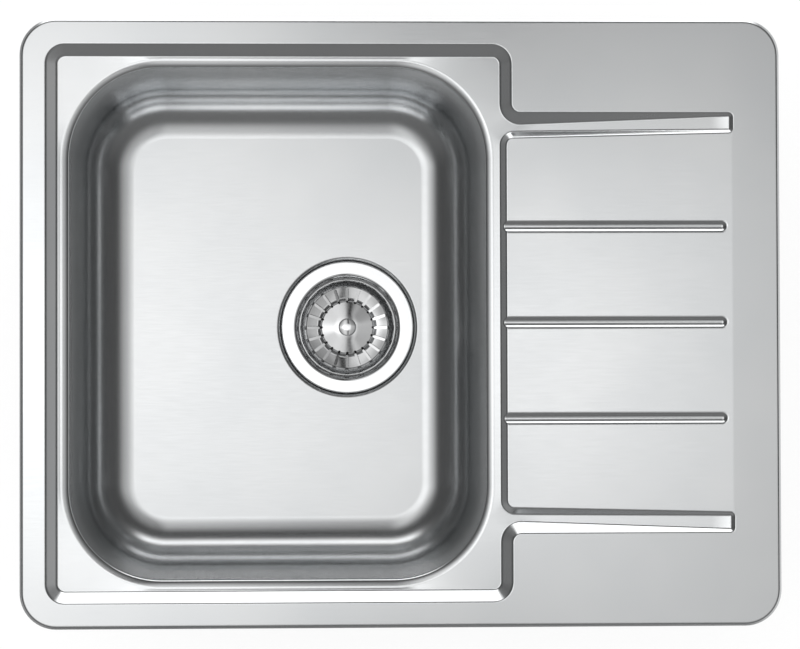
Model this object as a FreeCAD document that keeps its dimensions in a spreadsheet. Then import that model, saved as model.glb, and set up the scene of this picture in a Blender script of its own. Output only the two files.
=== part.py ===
"""Inset kitchen sink: one pressed stainless sheet with a bowl, a recessed deck and a drainboard,
held in a worktop by turning clips, with a basket strainer waste in the bowl floor.

Frame: millimetres, +Z up, +X from the bowl towards the drainboard, +Y to the back.
The origin is the centre of the worktop cut-out, on the worktop's top face.
"""
import FreeCAD, Part
import math
import os
import re

import Sketcher

doc = FreeCAD.newDocument("KitchenSink")
V = FreeCAD.Vector
UP = V(0, 0, 1)
HALF_TURN = "half turn"

# ---------------------------------------------------------------- sizes, in mm and degrees
SIZES = {
    # the sheet and its rim
    "sink_length": 625.0,          # left to right, over the rim
    "sink_width": 500.0,           # front to back, over the rim
    "rim_corner": 30.0,            # plan radius of the four outer corners
    "rim_height": 3.5,             # top of the rim above the worktop
    "sheet": 0.8,                  # thickness of the pressed steel
    "edge_land": 0.8,              # upright part of the turned-down edge
    "edge_bevel": 2.5,             # sloping part of the edge, in plan
    "rim_width": 21.0,             # outer edge to the recess, at the left, front and back
    # the recessed deck round the bowl
    "deck_drop": 7.5,              # rim top to deck
    "wall_run": 9.3,               # plan width of the sloping recess wall
    "recess_corner": 16.0,
    "deck_left": 11.7,             # level deck between the recess wall's foot and the bowl
    "deck_right": 12.2,
    "deck_side": 9.7,              # the same at the front and back
    # the two drain channels that flank the drainboard
    "channel_inset": 56.0,         # recess edge to a channel's outer edge, at the front and back
    "channel_floor_start": 6.2,    # floor width where the channel leaves the deck
    "channel_floor_end": 11.2,     # floor width at the far tip
    "channel_end_drop": 2.2,       # rim top to channel floor at the tip
    "tip_inset": 38.5,             # right edge of the rim to the channels' tips
    "channel_corner": 7.5,         # rim corner between recess and channel
    "channel_tip_corner": 2.5,
    "panel_corner": 2.0,           # drainboard corner beside a channel, at rim height
    # the sloping drainboard and its grooves
    "crease_inset": 1.0,           # channel tips to the line where the drainboard leaves the rim
    "panel_drop": 3.3,             # drainboard below the rim at its low end
    "groove_width": 8.0,
    "groove_depth": 2.0,
    "groove_spacing": 79.0,
    "groove_inset": 5.0,           # that line to the grooves' far ends
    "groove_taper": 45.0,
    # the bowl
    "bowl_length": 340.0,          # left to right, at deck level
    "bowl_corner": 75.0,
    "bowl_depth": 160.0,           # rim top to bowl floor
    "bowl_draft": 3.0,
    "bowl_lip": 3.5,
    "bowl_floor_bend": 39.0,
    # the waste hole in the bowl floor
    "waste_offset": 59.5,          # middle of the bowl to the waste, towards the drainboard
    "seat_radius": 60.5,           # the dished seat, at floor level
    "seat_run": 2.8,
    "seat_drop": 3.0,
    "waste_hole": 45.0,            # radius
    # soft parts of the sink
    "seal_inset": 3.2,             # outer edge of the rim to the foam strip
    "seal_width": 6.0,
    "pad_offset": 71.5,            # middle of the bowl to the damping pad, away from the drainboard
    "pad_length": 100.0,
    "pad_width": 240.0,
    "pad_corner": 15.0,
    "pad_thickness": 2.0,
    # strainer cup: the steel flange and cup of the waste
    "cup_sheet": 0.8,
    "flange_radius": 57.0,
    "flange_roll": 3.3,            # roll from the flange into the cup
    "cup_radius": 43.4,            # inside, at the top
    "cup_ledge": 8.0,              # flange top to the ledge that the basket rests in
    "cup_ledge_width": 2.0,
    "cup_ledge_drop": 0.8,
    "cup_draft_run": 1.2,
    "cup_depth": 22.0,             # flange top to the sealing ring
    "drain_radius": 20.5,          # opening inside the sealing ring
    "sump_depth": 7.0,             # sealing ring to the spider
    "spider_arm": 5.0,
    "spider_hub": 8.5,
    "gasket": 1.2,                 # upper flange gasket
    "gasket_inner": 46.5,
    "body_gasket": 2.2,            # lower gasket, under the sheet
    # plastic waste body
    "body_flange": 4.0,
    "body_wall": 3.0,
    "body_bore": 45.4,
    "body_side": 19.0,             # height of its straight wall under the gasket
    "body_cone": 10.0,             # height of the cone down to the outlet
    "outlet_radius": 23.9,         # over the outlet thread
    "outlet_bore": 19.5,
    "outlet_length": 30.0,
    "hub_radius": 7.5,
    "hub_height": 18.0,
    "rib_drop": 7.0,               # hub top to the ribs that carry it
    "rib_width": 3.0,
    "insert_radius": 5.0,
    "insert_length": 12.0,
    "screw_radius": 3.0,
    "screw_length": 15.0,
    "screw_head_radius": 6.0,
    "screw_head_height": 5.0,
    "head_bevel": 1.2,
    "socket_radius": 2.95,         # hollow in the screw head, for the basket stem
    "socket_depth": 4.2,
    "driver_slot": 1.6,
    "driver_slot_depth": 1.2,
    # strainer basket
    "basket_radius": 42.0,
    "basket_sheet": 0.8,
    "bead": 0.8,                   # radius of the rolled rim bead
    "trough_outer": 35.8,
    "trough_inner": 24.6,
    "trough_depth": 7.0,           # bead top to trough floor
    "dome_shoulder": 22.0,
    "dome_shoulder_drop": 4.6,     # crown to shoulder
    "slot_width": 3.3,
    "slot_neck": 2.0,              # width of a slot where it climbs the dome
    "slot_outer": 35.0,
    "slot_inner": 21.0,
    "slot_round": 1.2,
    "slots": 20,
    "knob_radius": 7.85,
    "knob_height": 8.0,
    "knob_neck": 3.6,
    "knob_neck_height": 2.0,
    "knob_bend": 2.4,              # roll round the knob's upper edge
    "knob_crown": 0.6,             # rise of its slightly domed top
    "stem_radius": 2.5,
    "stem_collar": 4.5,
    "stem_in_knob": 4.5,
    "stopper_radius": 23.5,
    "stopper_thickness": 2.8,
    "plate_radius": 20.0,
    "plate_thickness": 0.8,
    "washer_radius": 4.5,
    "washer_thickness": 1.0,
    "snap_ring": 1.2,              # height of the ring that snaps into the screw head
    # worktop clips
    "clip_inset": 33.0,            # outer edge of the rim to a clip's screw
    "clip_row_inset": 112.5,       # ends of the rim to the clips of the front and back rows
    "strap_width": 7.0,
    "strap_length": 34.0,
    "strap_sheet": 1.2,
    "strap_pocket": 3.6,
    "strap_pocket_length": 15.0,
    "clip_screw_radius": 2.5,
    "clip_screw_length": 50.0,
    "clip_head_radius": 4.4,
    "clip_head_height": 2.6,
    "clip_tip_radius": 1.8,        # hexagon drive on the lower end, across corners / 2
    "clip_tip_length": 4.0,
    "claw_width": 12.0,
    "claw_sheet": 2.0,
    "claw_reach": 28.0,            # screw to the biting edge
    "claw_tail": 5.0,
    "claw_rise": 9.0,              # height of the bent-up end
    "claw_teeth": 3,
    "claw_tooth_depth": 2.5,
    "claw_collar_radius": 4.5,
    "claw_collar_height": 3.0,
    "claw_drop": 47.0,             # weld plane to the claw's top face, clip fully open
    # clearances
    "shaft_gap": 0.05,             # between a shaft and its bore
    "rest_gap": 0.2,               # between pieces that rest on each other but part
    "side_gap": 0.3,               # between curved faces of different pieces
    "overlap": 4.0,                # how far a forming shape reaches into its neighbour
}

sheet = doc.addObject("Spreadsheet::Sheet", "Sizes")
for row, (alias, size) in enumerate(SIZES.items(), start=1):
    sheet.set(f"A{row}", alias)
    sheet.set(f"B{row}", str(size))
    sheet.setAlias(f"B{row}", alias)
doc.recompute()


def bound(expression):
    """The expression with each size's name made a reference to its cell."""
    words = r"[a-z]+(?:_[a-z]+)*"
    return re.sub(words, lambda m: "Sizes." + m[0] if m[0] in SIZES else m[0], str(expression))


def value(expression):
    """What an expression of sizes comes to now."""
    return float(sheet.evalExpression(bound(expression)))


# ---------------------------------------------------------------- levels and places worked out once
WALL_SLOPE = "(wall_run / deck_drop)"
DECK_Z = "(rim_height - deck_drop)"
FLOOR_Z = "(rim_height - bowl_depth)"
RECESS_LEFT = "(-sink_length / 2 + rim_width)"
RECESS_SIDE = "(sink_width / 2 - rim_width)"
BOWL_X = f"({RECESS_LEFT} + wall_run + deck_left + bowl_length / 2)"
BOWL_SIDE = f"({RECESS_SIDE} - wall_run - deck_side)"
RECESS_RIGHT = f"({BOWL_X} + bowl_length / 2 + deck_right + wall_run)"
WASTE_X = f"({BOWL_X} + waste_offset)"
CHANNEL_EDGE = f"({RECESS_SIDE} - channel_inset)"
CHANNEL_START = f"({RECESS_RIGHT} + channel_corner)"
CHANNEL_INNER = f"({CHANNEL_EDGE} - 2 * wall_run - channel_floor_start)"
CHANNEL_TIP = "(sink_length / 2 - tip_inset)"
TIP_RUN = f"(channel_end_drop * {WALL_SLOPE})"
PANEL_CREASE = f"({CHANNEL_TIP} - crease_inset)"
PANEL_EDGE = f"({RECESS_RIGHT} - panel_drop * {WALL_SLOPE})"
PANEL_ANGLE = f"atan(panel_drop / ({PANEL_CREASE} - {PANEL_EDGE}))"
# heights in the waste, measured from the bowl floor
FLANGE_TOP = "(-seat_drop + gasket + cup_sheet)"
SEAL_RING_Z = f"({FLANGE_TOP} - cup_depth)"
SPIDER_Z = f"({SEAL_RING_Z} - sump_depth)"
BODY_TOP = "(-seat_drop - sheet - body_gasket)"
HUB_TOP = f"({SPIDER_Z} - cup_sheet)"
OUTLET_END = f"({BODY_TOP} - body_side - body_cone - outlet_length)"
STOPPER_Z = f"({SEAL_RING_Z} + rest_gap)"
PLATE_Z = f"({STOPPER_Z} + stopper_thickness)"
BEAD_Z = f"({FLANGE_TOP} - cup_ledge - cup_ledge_drop + side_gap + bead)"
TROUGH_Z = f"({BEAD_Z} + bead - trough_depth)"
CROWN_Z = f"({BEAD_Z} + 2 * bead)"
HEAD_TOP = f"({SPIDER_Z} + screw_head_height)"
SOCKET_END = f"({HEAD_TOP} - socket_depth)"
STEM_END = f"({SOCKET_END} + 2 * side_gap)"
BORE = "(stem_radius + shaft_gap)"


# ---------------------------------------------------------------- drawing helpers
def new_body(label, x="0", y="0", z="0", turn="0"):
    """An empty body, placed by expressions and turned about Z."""
    body = doc.addObject("PartDesign::Body", label)
    body.Label = label
    body.Placement = FreeCAD.Placement(V(value(x), value(y), value(z)), FreeCAD.Rotation(UP, value(turn)))
    for axis, expression in (("x", x), ("y", y), ("z", z)):
        body.setExpression(f"Placement.Base.{axis}", bound(expression))
    body.setExpression("Placement.Rotation.Angle", bound(f"{turn} * 1 deg"))
    return body


def new_sketch(body, name, plane="XY_Plane", at=("0", "0", "0"), tilt=None):
    """A sketch on one of the body's own planes, shifted by expressions and tilted about one of its axes."""
    sketch = body.newObject("Sketcher::SketchObject", f"{body.Name}_{name}")
    sketch.AttachmentSupport = [(next(f for f in body.Origin.OriginFeatures if f.Role == plane), "")]
    sketch.MapMode = "FlatFace"
    axis, angle = tilt or (UP, "0")
    sketch.AttachmentOffset = FreeCAD.Placement(V(*map(value, at)), FreeCAD.Rotation(axis, value(angle)))
    for letter, expression in zip("xyz", at):
        sketch.setExpression(f"AttachmentOffset.Base.{letter}", bound(expression))
    if tilt:
        sketch.setExpression("AttachmentOffset.Rotation.Angle", bound(f"({angle}) * 1 deg"))
    return sketch


def pin_point(sketch, geometry, point, x, y):
    """Hold one point of a sketch at x, y from the sketch's origin."""
    for kind, expression in (("DistanceX", x), ("DistanceY", y)):
        number = sketch.addConstraint(
            Sketcher.Constraint(kind, -1, 1, geometry, point, value(expression)))
        sketch.setExpression(f"Constraints[{number}]", bound(expression))


def set_radius(sketch, geometry, expression):
    number = sketch.addConstraint(Sketcher.Constraint("Radius", geometry, value(expression)))
    sketch.setExpression(f"Constraints[{number}]", bound(expression))


def rounded_outline(sketch, corners):
    """Closed outline through corners (x, y, radius), each rounded where its radius isn't None."""
    points = [V(value(x), value(y), 0) for x, y, _ in corners]
    count = len(points)
    starts, ends, arcs = [None] * count, [None] * count, {}
    for i, (_, _, radius) in enumerate(corners):
        before = (points[i - 1] - points[i]).normalize()
        after = (points[(i + 1) % count] - points[i]).normalize()
        if radius is None:
            ends[i - 1] = starts[i] = points[i]
            continue
        half = before.getAngle(after) / 2
        size = value(radius)
        ends[i - 1] = points[i] + before * (size / math.tan(half))
        starts[i] = points[i] + after * (size / math.tan(half))
        centre = points[i] + (before + after).normalize() * (size / math.sin(half))
        middle = centre + (points[i] - centre).normalize() * size
        arcs[i] = Part.Arc(ends[i - 1], middle, starts[i])
    lines = [sketch.addGeometry(Part.LineSegment(starts[i], ends[i]), False) for i in range(count)]
    for i, (x, y, radius) in enumerate(corners):
        if radius is None:
            sketch.addConstraint(Sketcher.Constraint("Coincident", lines[i - 1], 2, lines[i], 1))
            pin_point(sketch, lines[i], 1, x, y)
            continue
        turns_left = (points[i] - points[i - 1]).cross(points[(i + 1) % count] - points[i]).z > 0
        arc = sketch.addGeometry(arcs[i], False)
        first, last = (1, 2) if turns_left else (2, 1)
        sketch.addConstraint(Sketcher.Constraint("Tangent", lines[i - 1], 2, arc, first))
        sketch.addConstraint(Sketcher.Constraint("Tangent", arc, last, lines[i], 1))
        set_radius(sketch, arc, radius)
        corner = sketch.addGeometry(Part.Point(points[i]), True)
        pin_point(sketch, corner, 1, x, y)
        sketch.addConstraint(Sketcher.Constraint("PointOnObject", corner, 1, lines[i - 1]))
        sketch.addConstraint(Sketcher.Constraint("PointOnObject", corner, 1, lines[i]))
    return sketch


def curved_outline(sketch, path):
    """Closed outline through points (x, y, radius). A radius bends the side that leaves the point:
    anticlockwise where it is positive, clockwise where it is negative, and HALF_TURN is half a
    circle on an upright side."""
    count = len(path)
    points = [V(value(x), value(y), 0) for x, y, _ in path]
    sides = []
    for i, (_, _, radius) in enumerate(path):
        a, b = points[i], points[(i + 1) % count]
        if radius is None:
            sides.append((sketch.addGeometry(Part.LineSegment(a, b), False), 1, 2))
            continue
        size = (b - a).Length / 2 if radius == HALF_TURN else value(radius)
        across = (b - a).cross(UP).normalize()
        sagitta = abs(size) - math.sqrt(max(size * size - (b - a).Length ** 2 / 4, 0))
        middle = (a + b) * 0.5 + across * math.copysign(sagitta, size)
        arc = sketch.addGeometry(Part.Arc(a, middle, b), False)
        sides.append((arc, 1, 2) if size > 0 else (arc, 2, 1))
    for i, (x, y, radius) in enumerate(path):
        geometry, first, last = sides[i]
        following, its_first, _ = sides[(i + 1) % count]
        sketch.addConstraint(Sketcher.Constraint("Coincident", geometry, last, following, its_first))
        pin_point(sketch, geometry, first, x, y)
        if radius == HALF_TURN:
            number = sketch.addConstraint(Sketcher.Constraint("DistanceX", -1, 1, geometry, 3, value(x)))
            sketch.setExpression(f"Constraints[{number}]", bound(x))
        elif radius is not None:
            set_radius(sketch, geometry, f"abs({radius})")
    return sketch


def circle(sketch, x, y, radius):
    number = sketch.addGeometry(Part.Circle(V(value(x), value(y), 0), UP, value(radius)), False)
    pin_point(sketch, number, 3, x, y)
    set_radius(sketch, number, radius)
    return sketch


def extrude(body, kind, sketch, length, taper=None, reversed_=False, midplane=False):
    """A Pad or a Pocket of a sketch; a positive taper narrows it away from the sketch."""
    feature = body.newObject(f"PartDesign::{kind}", f"{sketch.Name}_{kind.lower()}")
    feature.Profile = sketch
    feature.Reversed = reversed_
    feature.Length = value(length)
    feature.setExpression("Length", bound(length))
    if midplane:
        feature.Midplane = True
    if taper is not None:
        feature.TaperAngle = -value(taper)
        feature.setExpression("TaperAngle", bound(f"-({taper}) * 1 deg"))
    return feature


def revolve(body, sketch, kind="Revolution"):
    """A full turn of a sketch about its own upright axis."""
    feature = body.newObject(f"PartDesign::{kind}", f"{sketch.Name}_turned")
    feature.Profile = sketch
    feature.ReferenceAxis = (sketch, ["V_Axis"])
    feature.Angle = 360
    return feature


def polar(body, feature, count):
    pattern = body.newObject("PartDesign::PolarPattern", f"{feature.Name}_ring")
    pattern.Originals = [feature]
    pattern.Axis = (next(f for f in body.Origin.OriginFeatures if f.Role == "Z_Axis"), "")
    pattern.Angle = 360
    pattern.Occurrences = int(value(count))
    pattern.setExpression("Occurrences", bound(count))
    body.Tip = pattern
    return pattern


def dress(body, kind, name, size_name, size, wanted):
    """A Fillet or a Chamfer of those edges of the body's last feature for which wanted(edge) is true."""
    doc.recompute()
    base = body.Tip
    edges = [f"Edge{i}" for i, edge in enumerate(base.Shape.Edges, start=1) if wanted(edge)]
    feature = body.newObject(f"PartDesign::{kind}", f"{body.Name}_{name}")
    feature.Base = (base, edges)
    feature.setExpression(size_name, bound(size))
    return feature


def fillet(body, name, radius, wanted):
    return dress(body, "Fillet", name, "Radius", radius, wanted)


def chamfer(body, name, size, wanted):
    return dress(body, "Chamfer", name, "Size", size, wanted)


def turned(label, path):
    """A piece turned about the waste's axis from a profile of (radius, height, bend)."""
    body = new_body(label, x=WASTE_X, z=FLOOR_Z)
    revolve(body, curved_outline(new_sketch(body, "profile", "XZ_Plane"), path))
    return body


def rim_outline(sketch, inset):
    """The sink's outer outline, drawn in by inset."""
    x, y, r = f"(sink_length / 2 - {inset})", f"(sink_width / 2 - {inset})", f"(rim_corner - {inset})"
    return rounded_outline(sketch, [(f"-{x}", f"-{y}", r), (x, f"-{y}", r), (x, y, r), (f"-{x}", y, r)])


# ---------------------------------------------------------------- the pressed sheet
def rim_blank():
    """The flat rim with its bevelled, turned-down edge, before anything is pressed into it."""
    body = new_body("rim_blank")
    extrude(body, "Pad", rim_outline(new_sketch(body, "outline"), "0"), "rim_height")
    rim_top = value("rim_height")
    bevel = chamfer(body, "bevel", "edge_bevel", lambda e: abs(e.BoundBox.ZMin - rim_top) < 1e-4)
    bevel.ChamferType = "Two distances"
    bevel.FlipDirection = True
    bevel.setExpression("Size2", bound("rim_height - edge_land"))
    slope = "(edge_bevel / (rim_height - edge_land))"
    inset = f"(sheet * sqrt(1 + {slope} ^ 2) - edge_land * {slope})"
    hollow = rim_outline(new_sketch(body, "hollow"), inset)
    extrude(body, "Pocket", hollow, "rim_height - sheet", taper=f"atan({slope})", reversed_=True)
    return body


def forming_shape(label, skin):
    """The space above the pressed steel (skin = 0), or the same with the steel's thickness added
    all round (skin = sheet). The difference of the two is the pressed sheet."""
    body = new_body(label)
    wall_angle = f"atan({WALL_SLOPE})"
    out = f"({skin} * sqrt(1 + {WALL_SLOPE} ^ 2))"  # the thickness, measured in plan across the slope
    # recess and the roots of both channels
    left, right, side = f"({RECESS_LEFT} - {out})", f"({RECESS_RIGHT} + {out})", f"({RECESS_SIDE} + {out})"
    edge, inner = f"({CHANNEL_EDGE} + {out})", f"({CHANNEL_INNER} - {out})"
    stub = f"({CHANNEL_START} + 2 * wall_run)"
    corner = f"recess_corner + {out}"
    rim_turn, panel_turn = f"channel_corner - {out}", f"panel_corner - {out}"
    front = [(left, f"-{side}", corner), (right, f"-{side}", corner), (right, f"-{edge}", rim_turn),
             (stub, f"-{edge}", None), (stub, f"-{inner}", None), (right, f"-{inner}", panel_turn)]
    back = [(x, y[1:], r) for x, y, r in reversed(front)]
    recess = rounded_outline(new_sketch(body, "recess", at=("0", "0", "rim_height")), front + back)
    extrude(body, "Pad", recess, f"deck_drop + {skin}", taper=wall_angle, reversed_=True)
    far = "(sink_width)"
    trim = rounded_outline(new_sketch(body, "root_trim", at=("0", "0", "rim_height")), [
        (CHANNEL_START, f"-{far}", None), (far, f"-{far}", None),
        (far, far, None), (CHANNEL_START, far, None)])
    extrude(body, "Pocket", trim, f"2 * deck_drop + {skin}")
    # channels, whose floors climb to the tip
    deep, tip_deep = f"(deck_drop + {skin})", f"(channel_end_drop + {skin})"
    for sign, name in (("-", "front"), ("", "back")):
        root = new_sketch(body, f"{name}_root", "YZ_Plane", at=("0", "rim_height", CHANNEL_START))
        rounded_outline(root, [
            (f"{sign}({inner})", "0", None), (f"{sign}({edge})", "0", None),
            (f"{sign}({edge} - {deep} * {WALL_SLOPE})", f"-{deep}", None),
            (f"{sign}({inner} + {deep} * {WALL_SLOPE})", f"-{deep}", None)])
        tip = new_sketch(body, f"{name}_tip", "YZ_Plane", at=("0", "rim_height", f"{CHANNEL_TIP} + {out}"),
                         tilt=(V(1, 0, 0), f"{wall_angle}"))
        run = f"({tip_deep} * {WALL_SLOPE})"
        tip_inner = f"({CHANNEL_EDGE} - 2 * {TIP_RUN} - channel_floor_end - {out})"
        along = f"({tip_deep} / cos({wall_angle}))"
        rounded_outline(tip, [
            (f"{sign}({tip_inner})", "0", None), (f"{sign}({edge})", "0", None),
            (f"{sign}({edge} - {run})", f"-{along}", None),
            (f"{sign}({tip_inner} + {run})", f"-{along}", None)])
        loft = body.newObject("PartDesign::AdditiveLoft", f"{body.Name}_{name}_channel")
        loft.Profile = root
        loft.Sections = [tip]
        loft.Ruled = True
    tip_floor = value(f"rim_height - {tip_deep}")
    tip_start = value(f"{CHANNEL_TIP} + {out} - {run}") - 0.5
    fillet(body, "tip_corners", f"channel_tip_corner + {skin}",
           lambda e: abs(e.BoundBox.ZMin - tip_floor) < 1e-3 and e.BoundBox.ZLength > value(tip_deep) / 2
           and e.BoundBox.XMin > tip_start)
    # drainboard
    end = f"({PANEL_EDGE} - overlap / 2)"
    fall = f"(panel_drop * ({PANEL_CREASE} - {end}) / ({PANEL_CREASE} - {PANEL_EDGE}))"
    wedge = rounded_outline(new_sketch(body, "panel", "XZ_Plane", at=("0", "rim_height", "0")), [
        (end, "0", None), (end, f"-{fall} - {skin}", None), (PANEL_CREASE, f"-{skin}", None)]
        + ([(PANEL_CREASE, "0", None)] if skin != "0" else []))
    extrude(body, "Pad", wedge, f"{CHANNEL_EDGE} + {CHANNEL_INNER}", midplane=True)
    # grooves along the drainboard
    spread = f"({skin} / cos(groove_taper))"
    half = f"(groove_width / 2 + {spread})"
    near = f"-({PANEL_CREASE} - {PANEL_EDGE} + overlap + groove_depth)"
    tilt = (V(0, 1, 0), f"-{PANEL_ANGLE}")
    round_end = "-(groove_inset + groove_width / 2)"
    for number in (-1, 0, 1):
        middle = f"({number} * groove_spacing)"
        groove = new_sketch(body, f"groove_{number + 2}", at=(PANEL_CREASE, "0", "rim_height"), tilt=tilt)
        curved_outline(groove, [
            (near, f"{middle} - {half}", None), (round_end, f"{middle} - {half}", HALF_TURN),
            (round_end, f"{middle} + {half}", None), (near, f"{middle} + {half}", None)])
        extrude(body, "Pad", groove, f"groove_depth + {skin}", taper="groove_taper", reversed_=True)
    # bowl
    length, width = f"(bowl_length / 2 + {skin})", f"({BOWL_SIDE} + {skin})"
    x0, x1, r = f"({BOWL_X} - {length})", f"({BOWL_X} + {length})", f"bowl_corner + {skin}"
    mouth = rounded_outline(new_sketch(body, "bowl", at=("0", "0", DECK_Z)), [
        (x0, f"-{width}", r), (x1, f"-{width}", r), (x1, width, r), (x0, width, r)])
    extrude(body, "Pad", mouth, f"bowl_depth - deck_drop + {skin}", taper="bowl_draft", reversed_=True)
    bowl_floor = value(f"{FLOOR_Z} - {skin}")
    fillet(body, "floor_bend", f"bowl_floor_bend + {skin}",
           lambda e: abs(e.BoundBox.ZMax - bowl_floor) < 1e-3)
    deck = value(f"{DECK_Z} - {skin}")
    reach = value(f"{width} - {skin}") + 0.5
    round_edges = fillet if skin == "0" else chamfer
    lip = "bowl_lip" if skin == "0" else f"(2 - sqrt(2)) * (bowl_lip - {skin})"
    round_edges(body, "lip", lip,
                lambda e: abs(e.BoundBox.ZMax - deck) < 1e-3 and abs(e.BoundBox.ZMin - deck) < 1e-3
                and e.BoundBox.YMax < reach and e.BoundBox.YMin > -reach
                and e.BoundBox.XMin > value(x0) - 0.5 and e.BoundBox.XMax < value(x1) + 0.5)
    # dished seat of the waste
    seat = new_sketch(body, "seat", at=("0", "0", FLOOR_Z))
    circle(seat, WASTE_X, "0", f"seat_radius + {skin} / 2")
    extrude(body, "Pad", seat, f"seat_drop + {skin}", taper="atan(seat_run / seat_drop)", reversed_=True)
    if skin == "0":
        hole = new_sketch(body, "hole", at=("0", "0", f"{FLOOR_Z} - seat_drop"))
        circle(hole, WASTE_X, "0", "waste_hole")
        extrude(body, "Pad", hole, "4 * sheet", reversed_=True)
    return body


def sink_body():
    stock = doc.addObject("Part::Fuse", "stock")
    stock.Base = rim_blank()
    stock.Tool = forming_shape("die_shape", "sheet")
    pressed = doc.addObject("Part::Cut", "sink_body")
    pressed.Base = stock
    pressed.Tool = forming_shape("punch_shape", "0")
    pressed.Label = "sink_body"
    return pressed


# ---------------------------------------------------------------- soft parts fixed to the sheet
def rim_seal():
    """Foam strip that seals the rim to the worktop."""
    body = new_body("rim_seal")
    extrude(body, "Pad", rim_outline(new_sketch(body, "outer"), "seal_inset"), "rim_height - sheet")
    inner = rim_outline(new_sketch(body, "inner"), "(seal_inset + seal_width)")
    extrude(body, "Pocket", inner, "rim_height", reversed_=True)
    return body


def sound_pad():
    """Damping pad glued under the bowl floor."""
    body = new_body("sound_pad", x=f"{BOWL_X} - pad_offset", z=f"{FLOOR_Z} - sheet")
    x, y = "pad_length / 2", "pad_width / 2"
    corners = [(f"-{x}", f"-{y}"), (x, f"-{y}"), (x, y), (f"-{x}", y)]
    outline = rounded_outline(new_sketch(body, "outline"), [(x, y, "pad_corner") for x, y in corners])
    extrude(body, "Pad", outline, "pad_thickness", reversed_=True)
    return body


# ---------------------------------------------------------------- waste, turned about its own axis
def strainer_cup():
    """Pressed flange and cup of the waste, with the sealing ring and the four-armed spider."""
    ledge_in = "(cup_radius - cup_ledge_width)"
    ring_out = f"({ledge_in} - cup_draft_run)"
    roll = "(cup_radius + flange_roll)"
    ledge_top, ledge_low = f"({FLANGE_TOP} - cup_ledge)", f"({FLANGE_TOP} - cup_ledge - cup_ledge_drop)"
    screw_hole = "(screw_radius + side_gap)"
    under_roll = "(flange_roll - cup_sheet)"
    body = turned("strainer_cup", [
        ("flange_radius", FLANGE_TOP, None),
        (roll, FLANGE_TOP, None),
        (f"{roll} - flange_roll * sin(45)", f"{FLANGE_TOP} - flange_roll * (1 - cos(45))", None),
        ("cup_radius", f"{FLANGE_TOP} - flange_roll", None),
        ("cup_radius", ledge_top, None),
        (ledge_in, ledge_low, None),
        (ring_out, SEAL_RING_Z, None),
        ("drain_radius", SEAL_RING_Z, None),
        ("drain_radius", SPIDER_Z, None),
        (screw_hole, SPIDER_Z, None),
        (screw_hole, HUB_TOP, None),
        ("drain_radius + cup_sheet", HUB_TOP, None),
        ("drain_radius + cup_sheet", f"{SEAL_RING_Z} - cup_sheet", None),
        (f"{ring_out} + cup_sheet", f"{SEAL_RING_Z} - cup_sheet", None),
        (f"{ledge_in} + cup_sheet", f"{ledge_low} - cup_sheet / 2", None),
        ("cup_radius + cup_sheet", f"{ledge_top} - cup_sheet / 2", None),
        ("cup_radius + cup_sheet", f"{FLANGE_TOP} - flange_roll", None),
        (f"{roll} - {under_roll} * sin(45)", f"{FLANGE_TOP} - flange_roll + {under_roll} * cos(45)", None),
        (roll, f"{FLANGE_TOP} - cup_sheet", None),
        ("flange_radius", f"{FLANGE_TOP} - cup_sheet", None)])
    arm, outer = "(spider_arm / 2)", "(drain_radius - cup_sheet)"
    hub_x, outer_x = f"sqrt(spider_hub ^ 2 - {arm} ^ 2)", f"sqrt({outer} ^ 2 - {arm} ^ 2)"
    opening = curved_outline(new_sketch(body, "drain", at=("0", "0", SPIDER_Z)), [
        (arm, hub_x, "-spider_hub"), (hub_x, arm, None), (outer_x, arm, outer), (arm, outer_x, None)])
    polar(body, extrude(body, "Pocket", opening, "2 * cup_sheet"), "4")
    return body


def ring(label, inner, outer, low, high):
    """A flat turned ring."""
    return turned(label, [(inner, low, None), (outer, low, None), (outer, high, None), (inner, high, None)])


def flange_seal():
    """Gasket between the cup's flange and the seat."""
    return ring("flange_seal", "gasket_inner", "flange_radius - side_gap", "-seat_drop", "gasket - seat_drop")


def body_seal():
    """Gasket between the waste body and the underside of the seat."""
    under_seat = "(-seat_drop - sheet)"
    return ring("body_seal", "waste_hole + side_gap", "flange_radius - side_gap", BODY_TOP, under_seat)


def waste_body():
    """Moulded lower body: flange, cone and threaded outlet, with a ribbed hub for the centre screw."""
    wall, side_end = "(body_bore + body_wall)", f"({BODY_TOP} - body_side)"
    cone_end = f"({side_end} - body_cone)"
    body = turned("waste_body", [
        ("body_bore", BODY_TOP, None),
        ("body_bore", side_end, None),
        ("outlet_bore", cone_end, None),
        ("outlet_bore", OUTLET_END, None),
        ("outlet_radius", OUTLET_END, None),
        ("outlet_radius", f"{cone_end} - body_wall / 2", None),
        (wall, f"{side_end} - body_wall / 2", None),
        (wall, f"{BODY_TOP} - body_flange", None),
        ("flange_radius", f"{BODY_TOP} - body_flange", None),
        ("flange_radius", BODY_TOP, None)])
    hub = circle(new_sketch(body, "hub", at=("0", "0", HUB_TOP)), "0", "0", "hub_radius")
    extrude(body, "Pad", hub, "hub_height", reversed_=True)
    reach, half = "(outlet_bore + body_wall / 2)", "rib_width / 2"
    for name, x, y in (("ribs_across", reach, half), ("ribs_along", half, reach)):
        ribs = rounded_outline(new_sketch(body, name, at=("0", "0", f"{HUB_TOP} - rib_drop")), [
            (f"-{x}", f"-{y}", None), (x, f"-{y}", None), (x, y, None), (f"-{x}", y, None)])
        extrude(body, "Pad", ribs, "hub_height - rib_drop", reversed_=True)
    for name, radius, depth in (("insert_seat", "insert_radius + shaft_gap", "insert_length"),
                                ("screw_relief", "screw_radius + side_gap", "screw_length + shaft_gap")):
        hole = circle(new_sketch(body, name, at=("0", "0", HUB_TOP)), "0", "0", radius)
        extrude(body, "Pocket", hole, depth)
    return body


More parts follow.
